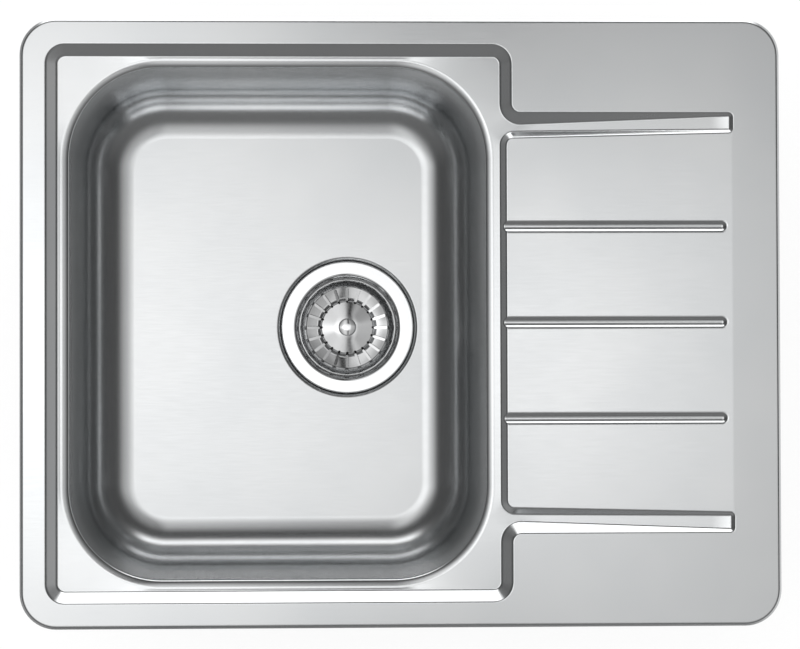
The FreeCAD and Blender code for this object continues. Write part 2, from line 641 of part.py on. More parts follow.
def thread_insert():
    """Brass bush moulded into the hub, for the centre screw."""
    low = f"{HUB_TOP} - insert_length"
    return ring("thread_insert", "screw_radius + shaft_gap", "insert_radius", low, HUB_TOP)


def centre_screw():
    """Screw that clamps the cup to the waste body; its hollow head holds the basket's stem."""
    body = turned("centre_screw", [
        ("0", SOCKET_END, None),
        ("socket_radius", SOCKET_END, None),
        ("socket_radius", HEAD_TOP, None),
        ("screw_head_radius - head_bevel", HEAD_TOP, None),
        ("screw_head_radius", f"{HEAD_TOP} - head_bevel", None),
        ("screw_head_radius", SPIDER_Z, None),
        ("screw_radius", SPIDER_Z, None),
        ("screw_radius", f"{SPIDER_Z} - screw_length", None),
        ("0", f"{SPIDER_Z} - screw_length", None)])
    x, y = "(screw_head_radius + side_gap)", "(driver_slot / 2)"
    slot = rounded_outline(new_sketch(body, "driver_slot", at=("0", "0", HEAD_TOP)), [
        (f"-{x}", f"-{y}", None), (x, f"-{y}", None), (x, y, None), (f"-{x}", y, None)])
    extrude(body, "Pocket", slot, "driver_slot_depth")
    return body


# ---------------------------------------------------------------- basket, which lifts out
def strainer_basket():
    """Pressed basket: rolled bead, slotted trough and a dome that carries the knob."""
    bead_in, bead_mid = "(basket_radius - 2 * bead)", "(basket_radius - bead)"
    shoulder_z = f"({CROWN_Z} - dome_shoulder_drop)"
    middle, middle_z = "(dome_shoulder * 0.6)", f"({CROWN_Z} - dome_shoulder_drop * 0.3)"
    skin = "basket_sheet"
    body = turned("strainer_basket", [
        (BORE, CROWN_Z, None),
        ("knob_neck", CROWN_Z, None),
        (middle, middle_z, None),
        ("dome_shoulder", shoulder_z, None),
        ("trough_inner", TROUGH_Z, None),
        ("trough_outer", TROUGH_Z, None),
        (bead_in, BEAD_Z, None),
        (bead_mid, f"{BEAD_Z} + bead", None),
        ("basket_radius", BEAD_Z, None),
        (bead_mid, f"{BEAD_Z} - bead", None),
        (f"trough_outer + {skin} / 2", f"{TROUGH_Z} - {skin}", None),
        (f"trough_inner - {skin} / 2", f"{TROUGH_Z} - {skin}", None),
        (f"dome_shoulder - {skin} / 2", f"{shoulder_z} - {skin}", None),
        (middle, f"{middle_z} - {skin}", None),
        ("stem_collar", f"{CROWN_Z} - {skin}", None),
        (BORE, f"{CROWN_Z} - {skin}", None)])
    neck, width = "slot_neck / 2", "slot_width / 2"
    step_in, step_out = f"(trough_inner - {skin})", f"(trough_inner + {skin})"
    slot = rounded_outline(new_sketch(body, "slot", at=("0", "0", CROWN_Z)), [
        ("slot_inner", f"-{neck}", None), (step_in, f"-{neck}", None), (step_out, f"-{width}", None),
        ("slot_outer", f"-{width}", "slot_round"), ("slot_outer", width, "slot_round"),
        (step_out, width, None), (step_in, neck, None), ("slot_inner", neck, None)])
    polar(body, extrude(body, "Pocket", slot, "2 * trough_depth"), "slots")
    return body


def basket_knob():
    """Turned knob that the basket is lifted by."""
    top = f"({CROWN_Z} + knob_height)"
    edge = f"({top} - knob_crown - knob_bend)"
    flat = "(knob_radius - knob_bend)"
    return turned("basket_knob", [
        (BORE, CROWN_Z, None),
        ("knob_neck", CROWN_Z, None),
        ("knob_neck", f"{CROWN_Z} + knob_neck_height", None),
        ("knob_radius", f"{edge} - knob_crown", None),
        ("knob_radius", edge, None),
        (f"({flat} + knob_bend * sin(45))", f"{edge} + knob_bend * cos(45)", None),
        (flat, f"{top} - knob_crown", None),
        ("0", top, None),
        ("0", f"{CROWN_Z} + stem_in_knob + side_gap", None),
        (BORE, f"{CROWN_Z} + stem_in_knob + side_gap", None)])


def basket_stem():
    """Turned stem: spigot in the knob, collar under the dome, and the tip that the screw head holds."""
    collar_top, collar_end = f"({CROWN_Z} - basket_sheet)", f"({PLATE_Z} + plate_thickness)"
    return turned("basket_stem", [
        ("0", STEM_END, None),
        ("stem_radius", STEM_END, None),
        ("stem_radius", collar_end, None),
        ("stem_collar", collar_end, None),
        ("stem_collar", collar_top, None),
        ("stem_radius", collar_top, None),
        ("stem_radius", f"{CROWN_Z} + stem_in_knob", None),
        ("0", f"{CROWN_Z} + stem_in_knob", None)])


def stopper_plate():
    """Steel disc that backs the rubber disc."""
    return ring("stopper_plate", BORE, "plate_radius", PLATE_Z, f"{PLATE_Z} + plate_thickness")


def stopper_seal():
    """Rubber disc that closes the drain when the basket is pushed down."""
    lip = "stopper_thickness / 3"
    return turned("stopper_seal", [
        (BORE, STOPPER_Z, None),
        (f"stopper_radius - {lip}", STOPPER_Z, None),
        ("stopper_radius", f"{STOPPER_Z} + {lip}", None),
        ("stopper_radius", PLATE_Z, None),
        (BORE, PLATE_Z, None)])


def stem_washer():
    """Washer that holds the rubber disc up against its plate."""
    return ring("stem_washer", BORE, "washer_radius", f"{STOPPER_Z} - washer_thickness", STOPPER_Z)


def stem_clip():
    """Snap ring that holds the stem in the screw's hollow head."""
    low = f"({STEM_END} + side_gap)"
    return ring("stem_clip", BORE, "socket_radius - shaft_gap", low, f"{low} + snap_ring")


# ---------------------------------------------------------------- worktop clips
UNDER_DECK, UNDER_RIM = f"({DECK_Z} - sheet)", "(rim_height - sheet)"
END_X, SIDE_Y = "(sink_length / 2 - clip_inset)", "(sink_width / 2 - clip_inset)"
ROW_X = "(sink_length / 2 - clip_row_inset)"
CLIPS = [  # name, x, y, height of the steel's underside, direction out of the sink
    ("front_left", f"-{ROW_X}", f"-{SIDE_Y}", UNDER_DECK, -90),
    ("front_right", ROW_X, f"-{SIDE_Y}", UNDER_RIM, -90),
    ("back_left", f"-{ROW_X}", SIDE_Y, UNDER_DECK, 90),
    ("back_right", ROW_X, SIDE_Y, UNDER_RIM, 90),
    ("left", f"-{END_X}", "0", UNDER_DECK, 180),
    ("right", END_X, "0", UNDER_RIM, 0),
]


def clip_strap(name, x, y, z, outward):
    """Hat-shaped strap, spot-welded under the sink, that holds a clip screw by its head."""
    body = new_body(f"strap_{name}", x, y, z, outward)
    end, pocket, skin = "strap_length / 2", "strap_pocket_length / 2", "strap_sheet"
    half = [(end, "0"), (end, f"-{skin}"), (f"({pocket} + {skin})", f"-{skin}"),
            (f"({pocket} + {skin})", f"-strap_pocket - {skin}")]
    inside = [(pocket, "-strap_pocket"), (pocket, "0")]
    path = half + [(f"-{a}", b) for a, b in reversed(half)]
    path += [(f"-{a}", b) for a, b in reversed(inside)] + inside
    hat = rounded_outline(new_sketch(body, "hat", "YZ_Plane"), [(a, b, None) for a, b in path])
    extrude(body, "Pad", hat, "strap_width", midplane=True)
    hole = circle(new_sketch(body, "hole"), "0", "0", "clip_screw_radius + shaft_gap")
    extrude(body, "Pocket", hole, "2 * strap_pocket")
    return body


def clip_screw(name, x, y, z, outward):
    """Clamp screw: its head turns in the strap, and its lower end takes a hexagon key."""
    body = new_body(f"clip_screw_{name}", x, y, z, f"({outward} - 90)")
    head = "(rest_gap - strap_pocket)"
    tip = f"({head} - clip_screw_length)"
    revolve(body, curved_outline(new_sketch(body, "profile", "XZ_Plane"), [
        ("0", tip, None), ("clip_screw_radius", tip, None), ("clip_screw_radius", head, None),
        ("clip_head_radius", head, None), ("clip_head_radius", f"{head} + clip_head_height", None),
        ("0", f"{head} + clip_head_height", None)]))
    key = [("clip_tip_radius", "0"), ("clip_tip_radius / 2", "clip_tip_radius * sqrt(3) / 2"),
           ("-clip_tip_radius / 2", "clip_tip_radius * sqrt(3) / 2"), ("-clip_tip_radius", "0"),
           ("-clip_tip_radius / 2", "-clip_tip_radius * sqrt(3) / 2"),
           ("clip_tip_radius / 2", "-clip_tip_radius * sqrt(3) / 2")]
    drive = rounded_outline(new_sketch(body, "key", at=("0", "0", tip)), [(a, b, None) for a, b in key])
    extrude(body, "Pad", drive, "clip_tip_length", reversed_=True)
    return body


def clip_claw(name, x, y, z, outward):
    """Bent claw on the screw, shown folded along the rim as it goes through the cut-out."""
    body = new_body(f"clip_claw_{name}", x, y, z, f"({outward} - 90)")
    skin, top = "claw_sheet", "-claw_drop"
    side = rounded_outline(new_sketch(body, "side", "XZ_Plane"), [
        ("-claw_tail", f"{top} - {skin}", None),
        ("claw_reach", f"{top} - {skin}", f"1.5 * {skin}"),
        ("claw_reach", f"{top} + claw_rise", None),
        (f"claw_reach - {skin}", f"{top} + claw_rise", None),
        (f"claw_reach - {skin}", top, f"{skin} / 2"),
        ("-claw_tail", top, None)])
    extrude(body, "Pad", side, "claw_width", midplane=True)
    teeth = new_sketch(body, "teeth", "YZ_Plane", at=("0", "0", "claw_reach"))
    pitch = f"(claw_width / {int(SIZES['claw_teeth'])})"
    for number in range(1, int(SIZES["claw_teeth"])):
        middle = f"({number} * {pitch} - claw_width / 2)"
        rounded_outline(teeth, [
            (f"{middle} - {pitch} / 2", f"{top} + claw_rise", None),
            (middle, f"{top} + claw_rise - claw_tooth_depth", None),
            (f"{middle} + {pitch} / 2", f"{top} + claw_rise", None)])
    extrude(body, "Pocket", teeth, f"2 * {skin}")
    under = f"{top} - {skin}"
    collar = circle(new_sketch(body, "collar", at=("0", "0", under)), "0", "0", "claw_collar_radius")
    extrude(body, "Pad", collar, "claw_collar_height", reversed_=True)
    hole = circle(new_sketch(body, "hole", at=("0", "0", top)), "0", "0", "clip_screw_radius + shaft_gap")
    extrude(body, "Pocket", hole, f"2 * {skin} + claw_collar_height")
    return body


def clip_straps():
    """All the straps, which are one group of welded pieces."""
    group = doc.addObject("Part::Compound", "clip_straps")
    group.Links = [clip_strap(*clip) for clip in CLIPS]
    return group


# ---------------------------------------------------------------- the whole part
parts = [piece() for piece in (
    sink_body, rim_seal, sound_pad, clip_straps,
    strainer_cup, flange_seal, body_seal, waste_body, thread_insert, centre_screw,
    strainer_basket, basket_knob, basket_stem, stopper_plate, stopper_seal, stem_washer, stem_clip)]
for clip in CLIPS:
    parts += [clip_screw(*clip), clip_claw(*clip)]
doc.recompute()

failed = [o.Label for o in doc.Objects if {"Invalid", "Error"} & set(o.State)]
assert not failed, f"features that failed: {failed}"
for part in parts:
    shape = part.Shape
    assert not shape.isNull() and shape.isValid() and shape.Solids, f"{part.Label} is not a valid solid"

os.makedirs("parts", exist_ok=True)
for part in parts:
    part.Shape.exportStep(f"parts/{part.Label}.step")
    print(f"{part.Label}: {len(part.Shape.Solids)} solid(s), {part.Shape.Volume / 1000:.2f} cm3")
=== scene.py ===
"""Inset kitchen sink: a pressed stainless sheet with bowl, recessed deck and drainboard, a basket
strainer waste in the bowl floor, and clips that hold it in a worktop. Drawn in millimetres and
made in metres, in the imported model's frame: +X to the drainboard, +Y to the back, +Z up.
"""

import math

import bmesh
import bpy
import numpy as np
from mathutils.geometry import delaunay_2d_cdt
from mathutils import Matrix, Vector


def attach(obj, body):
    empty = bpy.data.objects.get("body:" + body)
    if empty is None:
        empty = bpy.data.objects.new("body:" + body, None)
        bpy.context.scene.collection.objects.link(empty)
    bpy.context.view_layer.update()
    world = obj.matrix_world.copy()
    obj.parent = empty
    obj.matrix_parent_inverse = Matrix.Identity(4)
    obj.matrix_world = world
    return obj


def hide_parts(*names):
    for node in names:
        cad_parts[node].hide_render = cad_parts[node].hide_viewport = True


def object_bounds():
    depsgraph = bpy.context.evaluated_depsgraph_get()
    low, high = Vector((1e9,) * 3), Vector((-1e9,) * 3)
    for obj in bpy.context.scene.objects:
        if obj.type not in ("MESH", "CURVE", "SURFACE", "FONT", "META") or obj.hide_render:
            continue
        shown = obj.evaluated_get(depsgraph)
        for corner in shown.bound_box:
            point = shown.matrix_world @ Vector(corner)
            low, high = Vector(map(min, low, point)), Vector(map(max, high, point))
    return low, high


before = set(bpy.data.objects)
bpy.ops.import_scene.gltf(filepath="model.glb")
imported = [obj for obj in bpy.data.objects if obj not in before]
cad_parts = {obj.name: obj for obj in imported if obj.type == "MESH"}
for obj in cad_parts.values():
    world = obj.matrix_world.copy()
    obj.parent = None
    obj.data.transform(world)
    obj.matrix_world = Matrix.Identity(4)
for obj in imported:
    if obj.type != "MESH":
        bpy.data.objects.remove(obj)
cad_low, cad_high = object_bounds()

# ---------------------------------------------------------------- pressed sink
# One sheet of 0.8 mm stainless steel, drawn into bowl, recess, drain channels, drainboard and
# grooves in a press, with its outer edge turned down. The upper side is laid out first, as bands
# across every pressed wall with level fields between them, and then given the sheet's thickness.
MM = 0.001
SHEET = 0.8
# places and half widths from the sink's middle: _SIDE is along y, _CORNER a radius in plan
RIM_TOP, RIM_HALF, RIM_SIDE, RIM_CORNER = 3.5, 312.5, 250.0, 30.0
DECK_LEFT, DECK_RIGHT, DECK_SIDE, DECK_CORNER, DECK_DROP = -291.5, 91.0, 229.0, 16.0, 7.5
DECK_LEVEL = RIM_TOP - DECK_DROP
CHANNEL_START, CHANNEL_TIP, CHANNEL_SIDE, CHANNEL_END_DROP = 98.5, 274.0, 173.0, 2.2
CHANNEL_ROOT_CORNER, CHANNEL_TIP_CORNER = 7.5, 4.0
PANEL_EDGE, PANEL_CREASE, PANEL_DROP = 86.9, 273.0, 3.3
PANEL_SIDE, PANEL_TIP_SIDE, PANEL_CORNER = 148.2, 156.34, 2.0
GROOVES = (-79.0, 0.0, 79.0)
GROOVE_HALF, GROOVE_DEPTH, GROOVE_START, GROOVE_TIP = 4.0, 2.0, 100.0, 264.0
# distances from a groove's middle line at which its shape is followed
GROOVE_LINES = (0.0, 0.8, 1.4, 1.8, 2.2, 2.6, 3.0, 3.4, 3.8, 4.2, 4.7, 5.4, 5.8)
WALL_RUN = 9.3 / 7.5            # plan width of a pressed wall for each mm that it drops
WALL_BEND, WALL_STEPS = 2.0, 4
BOWL_X, BOWL_HALF, BOWL_SIDE, BOWL_CORNER = -101.5, 170.5, 210.0, 75.0
BOWL_FLOOR, FLOOR_BEND = -156.5, 39.0
BOWL_DRAFT = math.tan(math.radians(3))
# the lip, by distances outside the bowl's outline and its fall below the deck
LIP_EDGE, LIP_FOOT, LIP_FALL = 4.8, 0.2, 0.25
LIP_SLOPE = math.tan(math.radians(19.5))
WASTE_X, SEAT_DROP = -41.0, 3.0
SMOOTH_ANGLE = math.radians(38)


class Shell:
    """Points and faces of one piece while it is laid out."""

    def __init__(self):
        self.points, self.faces = [], []

    def ring(self, points):
        """Adds points and gives their numbers."""
        start = len(self.points)
        self.points += [tuple(p) for p in points]
        return list(range(start, len(self.points)))

    def band(self, one, other, closed=True):
        """Faces between two rings of the same length."""
        for i in range(len(one) if closed else len(one) - 1):
            j = (i + 1) % len(one)
            self.faces.append((one[i], one[j], other[j], other[i]))

    def bands(self, rings, closed=True):
        """Faces from each ring to the next."""
        for one, other in zip(rings, rings[1:]):
            self.band(one, other, closed)

    def field(self, outer, holes=(), lines=(), height=None):
        """Level or gently sloping faces inside a ring, round its holes and along lines.

        The height is that of any point that the faces need besides the given ones.
        """
        used = list(outer) + [i for hole in holes for i in hole]
        in_loops = set(used)
        used += [i for line in lines for i in line if i not in in_loops]
        place = {index: n for n, index in enumerate(used)}
        loops = [outer, *holes]
        edges = [(place[a], place[b]) for loop in loops for a, b in zip(loop, loop[1:] + loop[:1])]
        edges += [(place[a], place[b]) for line in lines for a, b in zip(line, line[1:])]
        flat = [self.points[i][:2] for i in used]
        points, _, faces, origins, _, _ = delaunay_2d_cdt(flat, edges, [], 0, 1e-6)
        new = []
        for point, sources in zip(points, origins):
            if sources:
                new.append(used[sources[0]])
            else:
                new += self.ring([(point[0], point[1], height(point[0], point[1]))])
        rims = [np.array([self.points[i][:2] for i in loop]) for loop in loops]
        for face in faces:
            corner = np.array([self.points[new[i]][:2] for i in face])
            middle = corner.mean(axis=0)
            if inside(middle, rims[0]) and not any(inside(middle, rim) for rim in rims[1:]):
                a, b, c = corner[:3]
                turn = (b[0] - a[0]) * (c[1] - a[1]) - (b[1] - a[1]) * (c[0] - a[0])
                order = face if turn > 0 else reversed(face)
                self.faces.append(tuple(new[i] for i in order))

    def mesh(self, name):
        mesh = bpy.data.meshes.new(name)
        mesh.from_pydata([tuple(c * MM for c in p) for p in self.points], [], self.faces)
        return mesh


def inside(point, rim):
    """True where a point lies within a closed outline."""
    a, b = rim, np.roll(rim, -1, axis=0)
    crosses = (a[:, 1] > point[1]) != (b[:, 1] > point[1])
    rise = np.where(b[:, 1] == a[:, 1], 1e-12, b[:, 1] - a[:, 1])
    reach = a[:, 0] + (point[1] - a[:, 1]) * (b[:, 0] - a[:, 0]) / rise
    return bool(np.count_nonzero(crosses & (point[0] < reach)) % 2)


def unit(vector):
    return vector / np.linalg.norm(vector)


def turn_between(before, after):
    """The angle between two unit vectors."""
    return math.acos(np.clip(before @ after, -1, 1))


def rounded(path, segments=5):
    """A line through (x, y, radius) with each corner that has a radius bent into an arc."""
    line = []
    for i, (x, y, radius) in enumerate(path):
        here = np.array((x, y), float)
        if not radius:
            line.append(here)
            continue
        before = unit(np.array(path[i - 1][:2], float) - here)
        after = unit(np.array(path[(i + 1) % len(path)][:2], float) - here)
        half = turn_between(before, after) / 2
        centre = here + unit(before + after) * radius / math.sin(half)
        start = here + before * radius / math.tan(half)
        end = here + after * radius / math.tan(half)
        a, b = start - centre, end - centre
        turn = math.acos(np.clip(a @ b / radius ** 2, -1, 1))
        for step in range(segments + 1):
            t = step / segments
            mix = math.sin((1 - t) * turn) * a + math.sin(t * turn) * b
            line.append(centre + mix / math.sin(turn))
    return line


def guarded(line, gap=0.3):
    """The line with its straight ends cut to a short step, so that level fields shade level."""
    first, last = unit(line[0] - line[1]), unit(line[-1] - line[-2])
    return [line[1] + first * gap, *line[1:-1], line[-2] + last * gap]


def smooth(mesh, angle=SMOOTH_ANGLE):
    """Smooth shading, with edges sharper than the angle left crisp."""
    work = bmesh.new()
    work.from_mesh(mesh)
    for face in work.faces:
        face.smooth = True
    for edge in work.edges:
        edge.smooth = len(edge.link_faces) == 2 and edge.calc_face_angle(0) < angle
    work.to_mesh(mesh)
    work.free()
    return mesh


def finished(name, mesh, modify=None):
    """The piece as a plain mesh, after its modifiers are worked out."""
    piece = bpy.data.objects.new(name, mesh)
    bpy.context.collection.objects.link(piece)
    if modify:
        modify(piece)
        evaluated = piece.evaluated_get(bpy.context.evaluated_depsgraph_get())
        piece_mesh = bpy.data.meshes.new_from_object(evaluated)
        piece.modifiers.clear()
        piece.data = piece_mesh
        piece_mesh.name = name
    smooth(piece.data)
    return piece


def outline(corners, step=15.0, turn_step=math.radians(8)):
    """Points and left-hand normals along a closed outline of (x, y, radius[, y of points])."""
    points, normals = [], []
    places = [np.array(corner[:2], float) for corner in corners]
    for i, corner in enumerate(corners):
        here, radius = places[i], corner[2]
        following, second = (i + 1) % len(corners), (i + 2) % len(corners)
        before, after = unit(here - places[i - 1]), unit(places[following] - here)
        left_in, left_out = np.array((-before[1], before[0])), np.array((-after[1], after[0]))
        side = math.copysign(1, before[0] * after[1] - before[1] * after[0])
        turn = turn_between(before, after)
        centre = here - before * radius * math.tan(turn / 2) + side * left_in * radius
        steps = max(3, math.ceil(turn / turn_step))
        for n in range(steps + 1):
            angle = side * turn * n / steps
            normal = np.array((left_in[0] * math.cos(angle) - left_in[1] * math.sin(angle),
                               left_in[0] * math.sin(angle) + left_in[1] * math.cos(angle)))
            points.append(centre - side * normal * radius)
            normals.append(normal)
        next_turn = turn_between(after, unit(places[second] - places[following]))
        start = points[-1]
        end = places[following] - after * corners[following][2] * math.tan(next_turn / 2)
        length = np.linalg.norm(end - start)
        parts = max(1, round(length / step))
        stations = [length * n / parts for n in range(1, parts)]
        if len(corner) > 3:
            stations = [y - start[1] for y in corner[3]]
        for distance in stations:
            points.append(start + after * distance)
            normals.append(left_out)
    return np.array(points), np.array(normals)


def groove_fall(distance):
    """How far the drainboard drops at a distance from a groove's middle line."""
    blend = 0.9
    inwards = np.clip(GROOVE_HALF - distance, -9, GROOVE_DEPTH + 9)
    fall = (inwards + np.sqrt(inwards ** 2 + blend ** 2)) / 2 - blend * 0.06
    low = GROOVE_DEPTH - fall
    return max(0.0, GROOVE_DEPTH - (low + math.sqrt(low ** 2 + blend ** 2)) / 2)


def panel_fall(x):
    """How far the drainboard lies below the rim."""
    return PANEL_DROP * max(0.0, PANEL_CREASE - x) / (PANEL_CREASE - PANEL_EDGE)


def floor_drop(x):
    """Rim to the floor of deck and channels."""
    share = max(0.0, x - CHANNEL_START) / (CHANNEL_TIP - CHANNEL_START)
    return DECK_DROP - (DECK_DROP - CHANNEL_END_DROP) * min(1.0, share)


def to_groove(y):
    """Distance from the middle line of the nearest groove."""
    return min(abs(y - middle) for middle in GROOVES)


def board_height(x, y):
    return RIM_TOP - panel_fall(x) - groove_fall(to_groove(y))


def wall_section(top, bottom, flank=4.0, guard=0.15):
    """A pressed wall from one drop to another, as (run from the rim's edge, drop)."""
    line = rounded([(top * WALL_RUN - flank, top, 0), (top * WALL_RUN, top, WALL_BEND),
                    (bottom * WALL_RUN, bottom, WALL_BEND),
                    (bottom * WALL_RUN + flank, bottom, 0)], WALL_STEPS)
    upper, lower = line[1:WALL_STEPS + 2], line[WALL_STEPS + 2:-1]
    across = lower[0] - upper[-1]
    guards = [upper[-1] + across * guard, lower[0] - across * guard]
    return guarded([line[0], *upper, *guards, *lower, line[-1]])


# the well: one wall round the deck and both channels, with the drainboard standing in between
board_stations = {round(y + sign * line, 4) for y in GROOVES for line in GROOVE_LINES
                  for sign in (-1, 1)}
board_stations |= {sign * y for y in (20.0, 40.0, 60.0, 100.0, 120.0, 140.0) for sign in (-1, 1)}
well_back = [(DECK_RIGHT, PANEL_SIDE, PANEL_CORNER),
             (CHANNEL_TIP, PANEL_TIP_SIDE, CHANNEL_TIP_CORNER),
             (CHANNEL_TIP, CHANNEL_SIDE, CHANNEL_TIP_CORNER),
             (DECK_RIGHT, CHANNEL_SIDE, CHANNEL_ROOT_CORNER),
             (DECK_RIGHT, DECK_SIDE, DECK_CORNER), (DECK_LEFT, DECK_SIDE, DECK_CORNER)]
well_front = [(x, -y, radius) for x, y, radius in well_back[::-1]]
well = [(*well_front.pop(), sorted(board_stations)), *well_back, *well_front]
edge_points, edge_normals = outline(well)
sections = []
for (x, y), normal in zip(edge_points, edge_normals):
    top = 0.0
    if x > DECK_RIGHT - 1 and abs(y) < PANEL_TIP_SIDE + CHANNEL_TIP_CORNER * 0.4:
        top = panel_fall(x + normal[0] * panel_fall(x) * WALL_RUN)
        top += groove_fall(to_groove(y)) if x < DECK_RIGHT + 1 else 0.0
    bottom = floor_drop(x + normal[0] * floor_drop(x) * WALL_RUN)
    sections.append([(x + normal[0] * run, y + normal[1] * run, RIM_TOP - drop)
                     for run, drop in wall_section(top, bottom)])
sink = Shell()
well_rings = [sink.ring(level) for level in zip(*sections)]
sink.bands(well_rings)
board_ring, deck_ring = well_rings[0], well_rings[-1]


def rounded_box(x, half_x, half_y, radius, turns=16, runs=8):
    """Points round a rounded rectangle, the same number for every size."""
    ring = []
    for quarter, (sx, sy) in enumerate(((1, 1), (-1, 1), (-1, -1), (1, -1))):
        centre = np.array((x + sx * (half_x - radius), sy * (half_y - radius)))
        arc = [centre + radius * np.array((math.cos(a), math.sin(a)))
               for a in (math.pi / 2 * (quarter + n / turns) for n in range(turns + 1))]
        if ring:
            start = ring[-1]
            ring += [start + (arc[0] - start) * n / runs for n in range(1, runs)]
        ring += arc
    start, end = ring[-1], ring[0]
    return ring + [start + (end - start) * n / runs for n in range(1, runs)]


# outer edge: level rim, sloping bevel and a short upright
edge_line = rounded([(-8, RIM_TOP, 0), (-2.4, RIM_TOP, 2.8), (0, 1.6, 0.6), (0, 0, 0)], 6)
edge_line = guarded(edge_line)[:-1] + edge_line[-1:]
edge_rings = []
for outset, height in edge_line:
    ring = rounded_box(0, RIM_HALF + outset, RIM_SIDE + outset, RIM_CORNER + outset, 14, 6)
    edge_rings.append(sink.ring([(x, y, height) for x, y in ring]))
sink.bands(edge_rings[::-1])

# drainboard: lines along each groove and round its end, and the crease where the slope begins
board_lines = []
left_edge = [i for i in board_ring
             if sink.points[i][0] < PANEL_EDGE + 4 and abs(sink.points[i][1]) < 100]
for middle in GROOVES:
    for line in GROOVE_LINES:
        ends = [min(left_edge, key=lambda i: abs(sink.points[i][1] - middle - sign * line))
                for sign in ((-1, 1) if line else (1,))]
        path = [(x, middle - line) for x in np.linspace(GROOVE_START, GROOVE_TIP, 12)]
        if line:
            path += [(GROOVE_TIP + line * math.sin(a), middle - line * math.cos(a))
                     for a in np.linspace(0, math.pi, 13)[1:-1]]
            path += [(x, middle + line) for x in np.linspace(GROOVE_TIP, GROOVE_START, 12)]
        path = [(x, y, RIM_TOP - panel_fall(x) - groove_fall(line)) for x, y in path]
        board_lines.append([ends[0], *sink.ring(path), *ends[1:]])
CREASE_SIDE = 150.0
for crease in (PANEL_CREASE - 1, PANEL_CREASE, PANEL_CREASE + 1):
    ends = [min(board_ring, key=lambda i: math.dist(
        sink.points[i][:2], (crease, side * (PANEL_TIP_SIDE - 1)))) for side in (-1, 1)]
    across = sink.ring([(crease, side * CREASE_SIDE, board_height(crease, CREASE_SIDE))
                        for side in (-1, 1)])
    board_lines.append([ends[0], *across, ends[1]])
sink.field(edge_rings[0], [board_ring], board_lines, board_height)

# bowl: wide soft lip, drafted walls and the bend into the floor
lip_top = DECK_LEVEL - LIP_FALL
lip_bottom = lip_top - (LIP_EDGE - LIP_FOOT) * LIP_SLOPE
wall_foot = -(DECK_LEVEL - BOWL_FLOOR) * BOWL_DRAFT
bowl_line = rounded([(10, lip_top, 0), (LIP_EDGE, lip_top, 14), (LIP_FOOT, lip_bottom, 2.6),
                     (wall_foot, BOWL_FLOOR, FLOOR_BEND), (-52, BOWL_FLOOR, 0)], 14)
bowl_line = guarded(bowl_line, 0.8)
bowl_rings = []
for outset, height in bowl_line:
    ring = rounded_box(BOWL_X, BOWL_HALF + outset, BOWL_SIDE + outset, BOWL_CORNER + outset, 20, 6)
    bowl_rings.append(sink.ring([(x, y, height) for x, y in ring]))
sink.bands(bowl_rings)

# deck, with a line across each channel's root, where its floor begins to rise
root_lines = [[min(deck_ring, key=lambda i: abs(sink.points[i][0] - CHANNEL_START)
                   + 3 * abs(sink.points[i][1] - side * y)) for y in (155.0, 168.0)]
              for side in (-1, 1)]
sink.field(deck_ring, [bowl_rings[0]], root_lines, lambda x, y: RIM_TOP - floor_drop(x))

# dished seat of the waste, with its hole
seat_line = rounded([(70, 0, 0), (60.5, 0, 2.5), (57.7, -SEAT_DROP, 1.5), (50, -SEAT_DROP, 0),
                     (45, -SEAT_DROP, 0)], 5)
seat_line = guarded(seat_line)[:-1] + seat_line[-1:]
seat_turn = np.linspace(0, 2 * math.pi, 97)[:-1]
seat_rings = [sink.ring([(WASTE_X + radius * math.cos(a), radius * math.sin(a), BOWL_FLOOR + height)
                         for a in seat_turn]) for radius, height in seat_line]
sink.bands(seat_rings)
sink.field(bowl_rings[-1], [seat_rings[0]])


def thicken(piece):
    """Gives the upper side the sheet's thickness, downwards."""
    wall = piece.modifiers.new("sheet", "SOLIDIFY")
    wall.thickness = SHEET * MM
    wall.offset = -1
    wall.use_even_offset = True


pressed_sink = finished("pressed_sink", sink.mesh("pressed_sink"), thicken)


